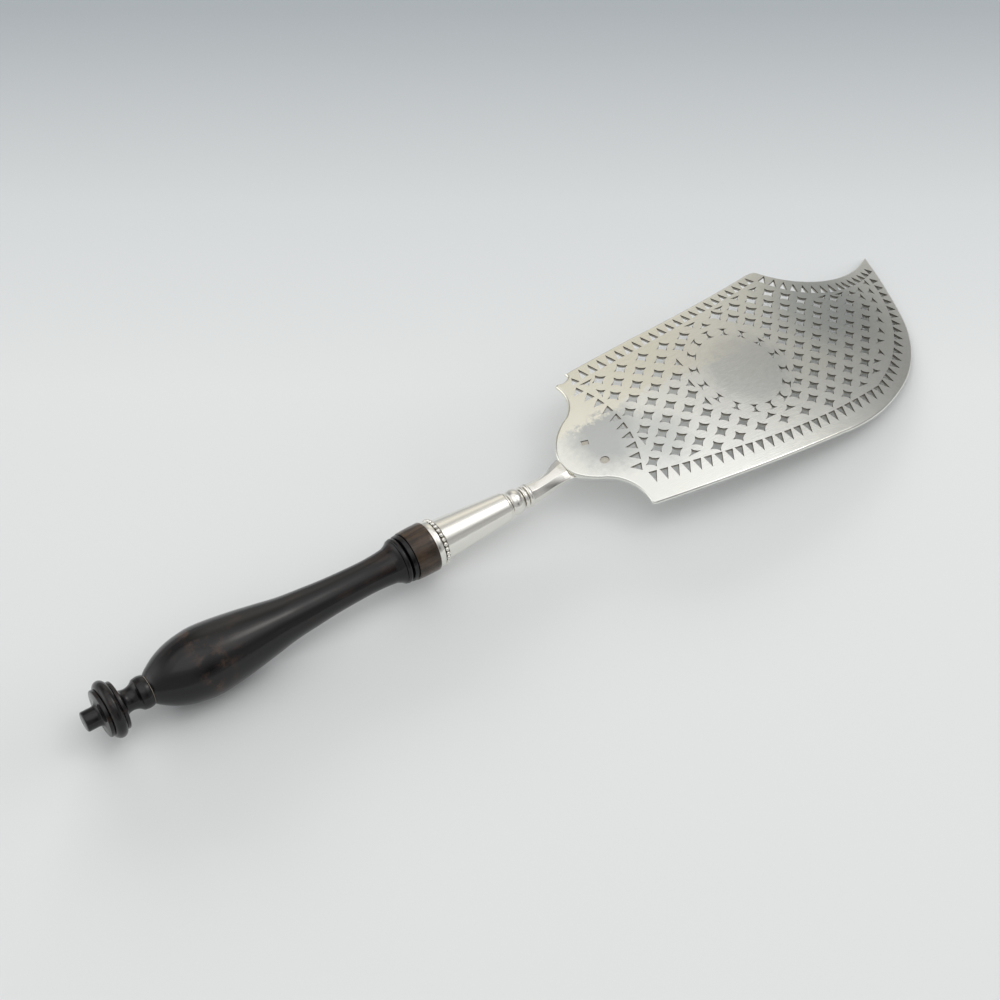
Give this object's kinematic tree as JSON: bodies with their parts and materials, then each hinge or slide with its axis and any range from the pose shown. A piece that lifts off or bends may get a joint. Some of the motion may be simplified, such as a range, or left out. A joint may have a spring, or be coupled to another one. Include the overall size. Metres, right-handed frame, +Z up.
{
  "type": "fish slice",
  "caption": "Fish serving slice with a dished, pierced blade on an octagonal stem and a turned handle with a finial.",
  "frame": {"origin": "centre of the bounding box at table height, z = 0", "axes": "+X along the handle from the finial to the blade's nose, +Y to the blade's scooped side, +Z up from the table"},
  "size_m": [0.38, 0.085, 0.026],
  "materials": {
    "blade": "satin silver",
    "shank": "polished silver",
    "ferrule": "polished silver",
    "bead_wire": "polished silver",
    "handle": "waxed ebonised wood",
    "finial": "waxed ebonised wood"
  },
  "bodies": {
    "root": {"blade": "blade", "shank": "shank", "ferrule": "ferrule", "bead_wire": "bead_wire", "handle": "handle", "finial": "finial"}
  },
  "joints": []
}
